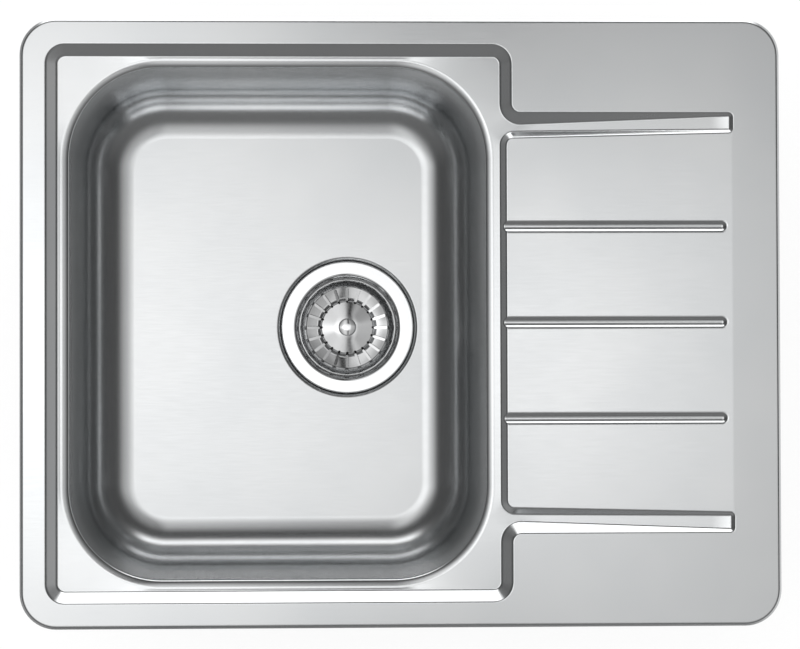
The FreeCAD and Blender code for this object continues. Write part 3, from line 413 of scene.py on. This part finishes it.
class Finish:
    """A node material under construction."""

    def __init__(self, name):
        self.material = bpy.data.materials.new(name)
        self.material.use_nodes = True
        self.nodes, self.links = self.material.node_tree.nodes, self.material.node_tree.links
        self.shader = self.nodes["Principled BSDF"]
        self.place = self.node("ShaderNodeTexCoord").outputs["Object"]

    def node(self, kind, **settings):
        """A node with its inputs, or else its own settings, set by name."""
        node = self.nodes.new(kind)
        for name, value in settings.items():
            if name in node.inputs:
                node.inputs[name].default_value = value
            else:
                setattr(node, name, value)
        return node

    def noise(self, scale, stretch=(1, 1, 1), detail=2.0):
        """A pattern of so many blots a metre, drawn out where the stretch is below one."""
        mapping = self.node("ShaderNodeMapping")
        mapping.inputs["Scale"].default_value = stretch
        self.links.new(self.place, mapping.inputs["Vector"])
        noise = self.node("ShaderNodeTexNoise", Scale=scale, Detail=detail)
        self.links.new(mapping.outputs["Vector"], noise.inputs["Vector"])
        return noise.outputs["Fac"]

    def ramp(self, source, low, high):
        """The source's middle range as a value between low and high, or as a mix of two colours."""
        spread = self.node("ShaderNodeMapRange")
        self.links.new(source, spread.inputs["Value"])
        spread.inputs["From Min"].default_value = 0.3
        spread.inputs["From Max"].default_value = 0.7
        if isinstance(low, (int, float)):
            spread.inputs["To Min"].default_value = low
            spread.inputs["To Max"].default_value = high
            return spread.outputs["Result"]
        mix = self.node("ShaderNodeMix", data_type="RGBA")
        self.links.new(spread.outputs["Result"], mix.inputs["Factor"])
        mix.inputs[6].default_value = (*low, 1)
        mix.inputs[7].default_value = (*high, 1)
        return mix.outputs[2]

    def set(self, socket, source):
        """Gives an input of the shader a value or another node's result."""
        if isinstance(source, bpy.types.NodeSocket):
            self.links.new(source, self.shader.inputs[socket])
        else:
            self.shader.inputs[socket].default_value = source

    def bump(self, source, strength, depth):
        """A relief, with its depth in metres."""
        bump = self.node("ShaderNodeBump")
        bump.inputs["Strength"].default_value = strength
        bump.inputs["Distance"].default_value = depth
        self.links.new(source, bump.inputs["Height"])
        self.links.new(bump.outputs["Normal"], self.shader.inputs["Normal"])


STEEL_CLOUDS = 9.0
DRAWN_FROM, DRAWN_TO = -0.006, -0.03


def steel(name, low, high, rough, grain, grain_scale, grain_stretch, depth, drawn=0.0):
    """Stainless steel with a fine grain, and duller by the last value where it was drawn deep."""
    finish = Finish(name)
    finish.set("Metallic", 1.0)
    finish.set("Base Color", finish.ramp(finish.noise(STEEL_CLOUDS), low, high))
    lines = finish.noise(grain_scale, grain_stretch, 3.0)
    gloss = finish.ramp(lines, rough - grain, rough + grain)
    if drawn:
        place, fall = finish.node("ShaderNodeSeparateXYZ"), finish.node("ShaderNodeMapRange")
        total = finish.node("ShaderNodeMath", operation="ADD")
        for socket, value in (("From Min", DRAWN_FROM), ("From Max", DRAWN_TO),
                              ("To Min", 0.0), ("To Max", drawn)):
            fall.inputs[socket].default_value = value
        finish.links.new(finish.place, place.inputs[0])
        finish.links.new(place.outputs["Z"], fall.inputs["Value"])
        finish.links.new(gloss, total.inputs[0])
        finish.links.new(fall.outputs["Result"], total.inputs[1])
        gloss = total.outputs[0]
    finish.set("Roughness", gloss)
    finish.bump(lines, 0.25, depth)
    return finish.material


satin_steel = steel("satin_steel", (0.70, 0.715, 0.725), (0.745, 0.755, 0.76),
                    0.17, 0.012, 900.0, (0.06, 1.0, 1.0), 0.0000015, 0.05)
pressed_sink.data.materials.append(satin_steel)
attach(pressed_sink, "sink")
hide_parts("sink_body")

# ---------------------------------------------------------------- strainer cup
# Flange and cup of the waste: thin stainless steel, drawn and polished, clamped onto the dished
# seat by the centre screw. A flat spider with four arms closes its foot and takes the screw.
WASTE_TURNS = 120
CUP_PROFILE = [     # (radius, height above the bowl floor, bend): the inside down, the outside up
    (56.2, -1.0, 0), (47.2, -1.0, 0), (43.4, -1.0, 3.3), (43.4, -9.0, 0.4), (41.4, -9.8, 0.6),
    (40.2, -23, 2), (20.5, -23, 1), (20.5, -30.6, 0), (21.3, -30.6, 0), (21.3, -23.8, 1.2),
    (40.93, -23.8, 2.8), (42.15, -10.4, 0.8), (44.2, -9.5, 0.4), (44.2, -1.8, 2.5),
    (56.8, -1.8, 0.25), (57.0, -1.4, 0.2), (56.8, -1.0, 0.25)]
SPIDER_TOP, SPIDER_FOOT, SPIDER_EDGE, SCREW_HOLE = -30.0, -30.8, 21.1, 3.1
ARM_HALF, HUB, WINDOW_REACH = 2.5, 8.5, 19.7


def around(radius, height, start=0.0, end=2 * math.pi, steps=WASTE_TURNS):
    """Points about the waste's axis; a full turn leaves out its last point."""
    full = abs(end - start - 2 * math.pi) < 1e-9
    angles = np.linspace(start, end, steps + 1)[:steps if full else None]
    return [(WASTE_X + radius * math.cos(a), radius * math.sin(a), BOWL_FLOOR + height)
            for a in angles]


def plate(shell, top, bottom, outer, holes):
    """A flat plate with holes, from closed outlines of (x, y)."""
    sides = [[shell.ring([(x, y, height) for x, y, *_ in loop]) for loop in (outer, *holes)]
             for height in (top, bottom)]
    for loops in sides:
        shell.field(loops[0], loops[1:])
    for upper, lower in zip(*sides):
        shell.band(upper, lower)


def closed(mesh):
    """Joins the points that meet and turns every face outwards."""
    work = bmesh.new()
    work.from_mesh(mesh)
    bmesh.ops.remove_doubles(work, verts=work.verts, dist=1e-6)
    bmesh.ops.recalc_face_normals(work, faces=work.faces)
    work.to_mesh(mesh)
    work.free()
    return mesh


cup = Shell()
cup_rings = [cup.ring(around(r, z)) for r, z in rounded(CUP_PROFILE)]
cup.bands(cup_rings + cup_rings[:1])
windows = []
far, near = math.asin(ARM_HALF / WINDOW_REACH), math.asin(ARM_HALF / HUB)
for turn in (quarter * math.pi / 2 for quarter in range(4)):
    windows.append(around(WINDOW_REACH, 0, turn + far, turn + math.pi / 2 - far, 12)
                   + around(HUB, 0, turn + math.pi / 2 - near, turn + near, 6))
plate(cup, BOWL_FLOOR + SPIDER_TOP, BOWL_FLOOR + SPIDER_FOOT, around(SPIDER_EDGE, 0, steps=48),
      [around(SCREW_HOLE, 0, steps=24), *windows])
polished_steel = steel("polished_steel", (0.72, 0.73, 0.735), (0.75, 0.755, 0.76),
                       0.09, 0.02, 700.0, (1.0, 1.0, 1.0), 0.000001)
strainer_cup = finished("strainer_cup", closed(cup.mesh("strainer_cup")))
strainer_cup.data.materials.append(polished_steel)
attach(strainer_cup, "sink")
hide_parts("strainer_cup")

# ---------------------------------------------------------------- strainer basket
# Pressed basket in the cup: a dome that carries the knob, a trough with twenty slots and a rolled
# bead that rests on the cup's ledge. One twentieth is drawn, and Geometry Nodes turns it around.
SLOTS, SLOT_HALF, SLOT_START, SLOT_END = 20, 1.35, 21.3, 35.0
SLOT_TAPER, TAPER_END, TAPER_RUN = 0.35, 25.0, 2.0
BASKET_SHEET = 0.5
dome_line = rounded([(2.9, -7.1, 0), (10, -7.4, 60), (22.9, -9.0, 1.5), (25.5, -15.8, 1.0),
                     (35.6, -13.8, 1.4), (40.4, -9.9, 0.8), (41.0, -8.9, 0.45), (42, -8.9, 0.4),
                     (42, -10.0, 0)], 4)


def slot_half(radius):
    """Half the width of a slot, which has round ends and narrows towards the dome."""
    narrow = SLOT_HALF - SLOT_TAPER * max(0.0, min(1.0, (TAPER_END - radius) / TAPER_RUN))
    end = min(radius - SLOT_START, SLOT_END - radius)
    if end <= 0:
        return 0.0
    return math.sqrt(max(0.0, narrow ** 2 - max(0.0, narrow - end) ** 2))


rows = {round(float(r), 5) for r, z in dome_line[:-1]}
rows |= {round(SLOT_START + d, 5) for d in (0.0, 0.03, 0.12, 0.3, 0.55, 0.9, 1.4)}
rows |= {round(SLOT_END - d, 5) for d in (0.0, 0.03, 0.12, 0.3, 0.6, 1.0, 1.4)}
dome_radii, dome_heights = zip(*dome_line[:-1])
levels = [(r, float(np.interp(r, dome_radii, dome_heights))) for r in sorted(rows)]
levels.append(tuple(dome_line[-1]))
sector = Shell()
half_turn = math.pi / SLOTS
for side in (-1, 1):
    strips = []
    for radius, height in levels:
        start = math.asin(slot_half(radius) / radius)
        angles = [side * (start + (half_turn - start) * n / 4) for n in range(5)]
        strips.append(sector.ring([(radius * math.cos(a), radius * math.sin(a), height)
                                   for a in angles]))
    sector.bands(strips[::-side], closed=False)


def turned_copies(piece):
    """Turns the drawn share about the waste's axis and joins the copies, then adds the sheet."""
    tree = bpy.data.node_groups.new("turned_copies", "GeometryNodeTree")
    sockets = {}
    for name, kind, side in (("Geometry", "Geometry", "INPUT"), ("Copies", "Int", "INPUT"),
                             ("Turn", "Float", "INPUT"), ("Axis", "Vector", "INPUT"),
                             ("Material", "Material", "INPUT"), ("Geometry", "Geometry", "OUTPUT")):
        sockets[name, side] = tree.interface.new_socket(
            name, in_out=side, socket_type="NodeSocket" + kind)
    add, link = tree.nodes.new, tree.links.new
    given, result = add("NodeGroupInput"), add("NodeGroupOutput")
    line, index = add("GeometryNodeMeshLine"), add("GeometryNodeInputIndex")
    angle = add("ShaderNodeMath")
    vector, copies = add("ShaderNodeCombineXYZ"), add("GeometryNodeInstanceOnPoints")
    real, join = add("GeometryNodeRealizeInstances"), add("GeometryNodeMergeByDistance")
    place, paint = add("GeometryNodeTransform"), add("GeometryNodeSetMaterial")
    angle.operation = "MULTIPLY"
    line.inputs["Offset"].default_value = (0, 0, 0)
    link(given.outputs["Copies"], line.inputs["Count"])
    link(index.outputs[0], angle.inputs[0])
    link(given.outputs["Turn"], angle.inputs[1])
    link(angle.outputs[0], vector.inputs["Z"])
    link(line.outputs[0], copies.inputs["Points"])
    link(given.outputs["Geometry"], copies.inputs["Instance"])
    link(vector.outputs[0], copies.inputs["Rotation"])
    link(copies.outputs[0], real.inputs[0])
    link(real.outputs[0], join.inputs["Geometry"])
    join.inputs["Distance"].default_value = 2e-6
    link(join.outputs[0], place.inputs["Geometry"])
    link(given.outputs["Axis"], place.inputs["Translation"])
    link(place.outputs[0], paint.inputs["Geometry"])
    link(given.outputs["Material"], paint.inputs["Material"])
    link(paint.outputs[0], result.inputs[0])
    modifier = piece.modifiers.new("copies", "NODES")
    modifier.node_group = tree
    for name, value in (("Copies", SLOTS), ("Turn", 2 * half_turn), ("Material", polished_steel),
                        ("Axis", (WASTE_X * MM, 0.0, BOWL_FLOOR * MM))):
        modifier[sockets[name, "INPUT"].identifier] = value
    sheet = piece.modifiers.new("sheet", "SOLIDIFY")
    sheet.thickness = BASKET_SHEET * MM
    sheet.offset = -1


basket = finished("strainer_basket", sector.mesh("basket_sector"), turned_copies)
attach(basket, "basket")
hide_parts("strainer_basket")

# ---------------------------------------------------------------- basket knob
# Small turned button on the dome, screwed onto the stem. The basket is lifted by it.
knob_line = rounded([(0, 0.9, 0), (4, 0.8, 20), (7.6, 0.2, 1.0), (7.85, -2.6, 0.8),
                     (3.7, -3.4, 0.5), (3.6, -7.05, 0), (0, -7.05, 0)])
knob = Shell()
knob.bands([knob.ring(around(r, z, steps=64)) for r, z in knob_line])
basket_knob = finished("basket_knob", closed(knob.mesh("basket_knob")))
basket_knob.data.materials.append(polished_steel)
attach(basket_knob, "basket")
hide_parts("basket_knob")

# ---------------------------------------------------------------- seals of the waste
# Black rubber: the gaskets above and below the sheet, the disc that closes the drain and the
# washer on its stem. They are cut or moulded, with a dull, slightly dusty skin.
def surface(name, low, high, rough, scale, depth, metal=0.0, stretch=(1, 1, 1), mottle=0.06):
    """A mottled colour, an uneven gloss and a fine texture."""
    finish = Finish(name)
    finish.set("Metallic", metal)
    finish.set("Base Color", finish.ramp(finish.noise(scale * mottle), low, high))
    texture = finish.noise(scale, stretch, 3.0)
    finish.set("Roughness", finish.ramp(texture, *rough))
    finish.bump(texture, 0.3, depth)
    return finish.material


def dress(material, *names):
    """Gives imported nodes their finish."""
    for name in names:
        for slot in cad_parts[name].material_slots:
            slot.material = material


dress(surface("seal_rubber", (0.035, 0.035, 0.037), (0.06, 0.06, 0.06), (0.55, 0.75),
              900.0, 0.00004), "flange_seal", "body_seal", "stopper_seal", "stem_washer")

# ---------------------------------------------------------------- waste body
# Moulded white plastic under the bowl: flange, cone and threaded outlet, with a ribbed hub around
# a brass bush. The clip on the stem is moulded in the same way.
dress(surface("waste_plastic", (0.80, 0.80, 0.78), (0.86, 0.86, 0.85), (0.34, 0.48),
              500.0, 0.00003), "waste_body")
dress(surface("snap_plastic", (0.84, 0.84, 0.82), (0.90, 0.90, 0.88), (0.30, 0.42),
              700.0, 0.00002), "stem_clip")
dress(surface("brass", (0.72, 0.56, 0.27), (0.80, 0.64, 0.34), (0.22, 0.38),
              800.0, 0.00001, 1.0, (0.1, 0.1, 1.0)), "thread_insert")

# ---------------------------------------------------------------- screw, stem and stopper plate
# Turned steel: the hollow-headed screw that clamps the waste, and the stem under the basket with
# the plate that backs the rubber disc. Fine turning marks run around them.
dress(surface("screw_steel", (0.60, 0.60, 0.60), (0.68, 0.68, 0.67), (0.20, 0.34),
              900.0, 0.00001, 1.0, (0.1, 0.1, 1.0)),
      "centre_screw", "basket_stem", "stopper_plate")

# ---------------------------------------------------------------- rim seal and sound pad
# Closed-cell foam strip under the rim, and the bitumen felt pad that is stuck under the bowl floor.
dress(surface("foam", (0.15, 0.15, 0.155), (0.22, 0.22, 0.22), (0.80, 0.95),
              1200.0, 0.0002), "rim_seal")
dress(surface("damping_pad", (0.20, 0.21, 0.22), (0.30, 0.31, 0.32), (0.70, 0.90),
              700.0, 0.00025), "sound_pad")

# ---------------------------------------------------------------- clips
# Hat-shaped straps spot-welded under the rim and deck, and in each a clamp screw with a toothed
# claw. All are zinc-plated steel with a faint spangle.
CLIPS = ("front_left", "front_right", "back_left", "back_right", "left", "right")
dress(surface("plated_steel", (0.54, 0.56, 0.60), (0.66, 0.67, 0.69), (0.28, 0.46),
              400.0, 0.00002, 1.0),
      "clip_straps", *(kind + clip for kind in ("clip_claw_", "clip_screw_") for clip in CLIPS))

# ---------------------------------------------------------------- stage
# A pale floor under the sink, a large soft lamp above, and a studio that the steel mirrors: bright
# overhead and behind, dimmer at the sides and in front.
FLOOR_REACH, FLOOR_GAP, FLOOR_GLOW = 6.0, 0.004, 0.85
floor_mesh = bpy.data.meshes.new("floor")
floor_mesh.from_pydata([(x * FLOOR_REACH, y * FLOOR_REACH, cad_low[2] - FLOOR_GAP)
                        for x, y in ((-1, -1), (1, -1), (1, 1), (-1, 1))], [], [(0, 1, 2, 3)])
floor = bpy.data.objects.new("floor", floor_mesh)
bpy.context.collection.objects.link(floor)
floor_finish = Finish("floor_white")
floor_finish.set("Base Color", (0.9, 0.9, 0.9, 1))
floor_finish.set("Roughness", 0.9)
floor_finish.set("Specular IOR Level", 0.0)

# seen by the camera, most of the floor's white is its own light, so that the ground stays even
seen = floor_finish.node("ShaderNodeLightPath")
rays = floor_finish.node("ShaderNodeMath", operation="MAXIMUM")
floor_finish.links.new(seen.outputs["Is Camera Ray"], rays.inputs[0])
floor_finish.links.new(seen.outputs["Is Transmission Ray"], rays.inputs[1])
share = floor_finish.node("ShaderNodeMath", operation="MULTIPLY")
share.inputs[1].default_value = FLOOR_GLOW
floor_finish.links.new(rays.outputs[0], share.inputs[0])
glow = floor_finish.node("ShaderNodeEmission", Strength=1.0)
both = floor_finish.node("ShaderNodeMixShader")
floor_finish.links.new(share.outputs[0], both.inputs[0])
floor_finish.links.new(floor_finish.shader.outputs[0], both.inputs[1])
floor_finish.links.new(glow.outputs[0], both.inputs[2])
floor_finish.links.new(both.outputs[0], floor_finish.nodes["Material Output"].inputs["Surface"])
floor_mesh.materials.append(floor_finish.material)

# the lamp, aimed at the sink's middle and not mirrored itself
LAMP_X, LAMP_Y, LAMP_Z, LAMP_SIZE, LAMP_WATTS = -0.6, 0.5, 3.2, 3.0, 80.0
lamp_data = bpy.data.lights.new("soft_lamp", "AREA")
lamp_data.shape = "SQUARE"
lamp_data.size = LAMP_SIZE
lamp_data.energy = LAMP_WATTS
lamp = bpy.data.objects.new("soft_lamp", lamp_data)
lamp.location = (LAMP_X, LAMP_Y, LAMP_Z)
lamp.rotation_euler = (-math.atan2(LAMP_Y, LAMP_Z), math.atan2(LAMP_X, LAMP_Z), 0)
lamp.visible_glossy = False
bpy.context.collection.objects.link(lamp)

# the studio, by the direction (x, y, z) in which a ray leaves
world = bpy.data.worlds.new("studio")
bpy.context.scene.world = world
world.use_nodes = True
nodes, links = world.node_tree.nodes, world.node_tree.links
nodes.clear()


def world_node(kind, *inputs, **settings):
    """A world node with its inputs linked or set in order."""
    node = nodes.new(kind)
    for name, value in settings.items():
        setattr(node, name, value)
    for socket, source in zip(node.inputs, inputs):
        if isinstance(source, bpy.types.NodeSocket):
            links.new(source, socket)
        elif source is not None:
            socket.default_value = source
    return node


def calc(operation, *inputs):
    """The result of one sum in the world's nodes."""
    return world_node("ShaderNodeMath", *inputs, operation=operation).outputs[0]


def between(source, low, high, at_low, at_high):
    """A smooth change from at_low to at_high as the source goes from low to high."""
    node = world_node("ShaderNodeMapRange", source, low, high, at_low, at_high)
    node.interpolation_type = "SMOOTHSTEP"
    return node.outputs[0]


def levels_along(source, *stops):
    """Straight changes between stops of (place, level)."""
    node = world_node("ShaderNodeValToRGB")
    low, high = stops[0][0], stops[-1][0]
    spread = world_node("ShaderNodeMapRange", source, low, high, 0.0, 1.0)
    links.new(spread.outputs[0], node.inputs[0])
    elements = node.color_ramp.elements
    for place, level in stops[1:-1]:
        elements.new((place - low) / (high - low))
    for element, (place, level) in zip(elements, stops):
        element.color = (level, level, level, 1)
    return node.outputs[0]


direction = world_node("ShaderNodeTexCoord").outputs["Generated"]
sky_x, sky_y, sky_z = world_node("ShaderNodeSeparateXYZ", direction).outputs

# overhead: a bright softbox that fades to the right, with its own fall from front to back on each
# side, and two dim corners
softbox = levels_along(sky_x, (-0.30, 0.8), (-0.12, 1.50), (-0.07, 1.44), (-0.03, 1.24),
                       (0.0, 1.20), (0.04, 1.10), (0.08, 0.97), (0.13, 0.68), (0.17, 0.46),
                       (0.35, 0.46))
left_depth = levels_along(sky_y, (-0.16, 0.56), (-0.074, 0.66), (-0.026, 1.19), (0.023, 1.28),
                          (0.073, 0.92), (0.122, 0.72), (0.2, 0.60))
right_depth = levels_along(sky_y, (-0.16, 0.90), (-0.074, 1.04), (-0.026, 1.14), (0.023, 1.14),
                           (0.073, 1.28), (0.122, 0.80), (0.2, 0.66))
to_right = between(sky_x, 0.055, 0.11, 0.0, 1.0)
depth = calc("ADD", calc("MULTIPLY", left_depth, calc("SUBTRACT", 1.0, to_right)),
             calc("MULTIPLY", right_depth, to_right))
corners = calc("MULTIPLY", levels_along(sky_x, (-0.01, 0.0), (0.03, 0.8), (0.07, 1.0), (0.10, 0.3),
                                        (0.13, 0.0)),
               levels_along(sky_y, (-0.10, 0.60), (-0.074, 0.44), (-0.05, 0.0), (0.06, 0.0),
                            (0.08, 0.12), (0.11, 0.74)))
overhead = calc("MULTIPLY", calc("SUBTRACT", calc("MULTIPLY", softbox, depth), corners),
                between(sky_z, 0.78, 0.985, 0.0, 1.0))

# low down: a bright panel behind the sink, softer walls beside it and a faint one in front
behind = calc("MULTIPLY", between(sky_y, 0.40, 0.85, 0.0, 1.75),
              between(sky_z, 0.42, 0.62, 1.0, 0.0))
behind = calc("MULTIPLY", behind, between(calc("ABSOLUTE", sky_x), 0.30, 0.55, 1.0, 0.05))
beside = calc("MULTIPLY", levels_along(sky_x, (-1.0, 0.26), (-0.5, 0.14), (0.0, 0.0), (0.5, 0.28),
                                       (1.0, 0.66)), between(sky_z, 0.22, 0.34, 1.0, 0.0))
front = levels_along(sky_y, (-1.0, 0.12), (-0.3, 0.05), (0.0, 0.0))

# the steel mirrors all of it, the camera sees white, and dull surfaces get an even fill
GROUND_LEVEL, FILL_LEVEL = 0.07, 0.85
mirrored = calc("ADD", calc("ADD", overhead, behind),
                calc("ADD", calc("ADD", beside, front), GROUND_LEVEL))
rays = world_node("ShaderNodeLightPath").outputs
background = calc("MAXIMUM", rays["Is Camera Ray"], rays["Is Transmission Ray"])
fill = calc("MULTIPLY", calc("SUBTRACT", 1.0, rays["Is Glossy Ray"]), FILL_LEVEL)
glossy = calc("MULTIPLY", rays["Is Glossy Ray"], mirrored)
strength = calc("MAXIMUM", background, calc("ADD", fill, glossy))
shade = world_node("ShaderNodeBackground", (1, 1, 1, 1), strength)
world_node("ShaderNodeOutputWorld", shade.outputs[0])

# ---------------------------------------------------------------- camera
# Almost straight above the sink and tilted a little, as the photograph was taken. The lens is the
# focal length in pixels of a picture 800 pixels wide, on a 36 mm sensor.
FOCAL_PIXELS, PICTURE_WIDTH, SENSOR = 3051, 800, 36.0
CAMERA_PLACE, CAMERA_TURN = (-0.1, -0.06, 2.5035), (1.345, -2.254, -0.17)
camera_data = bpy.data.cameras.new("camera")
camera_data.type = "PERSP"
camera_data.sensor_width = SENSOR
camera_data.lens = FOCAL_PIXELS / PICTURE_WIDTH * SENSOR
camera = bpy.data.objects.new("camera", camera_data)
camera.location = CAMERA_PLACE
camera.rotation_euler = [math.radians(angle) for angle in CAMERA_TURN]
bpy.context.collection.objects.link(camera)
bpy.context.scene.camera = camera
bpy.context.scene.view_settings.view_transform = "Standard"
